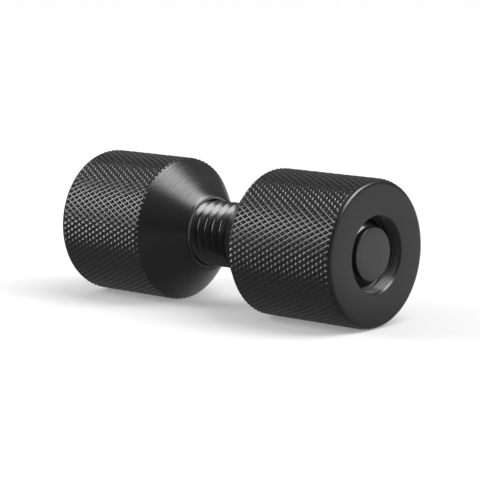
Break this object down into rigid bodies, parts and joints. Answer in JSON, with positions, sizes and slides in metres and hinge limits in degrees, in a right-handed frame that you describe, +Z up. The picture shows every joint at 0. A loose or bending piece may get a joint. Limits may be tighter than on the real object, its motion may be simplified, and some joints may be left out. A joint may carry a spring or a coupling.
{
  "type": "alignment pin",
  "caption": "Two knurled knobs with facing cones on one threaded stud, to centre in a bolt hole from both sides.",
  "frame": {"origin": "centre of the lower knob's outer face, which the pin stands on", "axes": "+Z up along the stud, from the lower knob to the upper knob; X and Y are equal"},
  "size_m": [0.035, 0.035, 0.0852],
  "materials": {
    "knob": "black anodised, satin",
    "stud": "black oxide, oiled"
  },
  "bodies": {
    "lower_knob": {"lower_knob": "knob"},
    "stud": {"threaded_stud": "stud"},
    "upper_knob": {"upper_knob": "knob"}
  },
  "joints": [
    {"name": "stud_turn", "type": "hinge", "parent": "lower_knob", "child": "stud", "pos_m": [0, 0, 0.0426], "axis": [0, 0, 1], "range_deg": [-1710, 3060]},
    {"name": "upper_knob_travel", "type": "slide", "parent": "stud", "child": "upper_knob", "axis": [0, 0, 1], "range_m": [-0.01102, 0.0197]}
  ],
  "couplings": [
    {"joint": "upper_knob_travel", "follows": "stud_turn", "m_per_rad": 0.0003675}
  ]
}
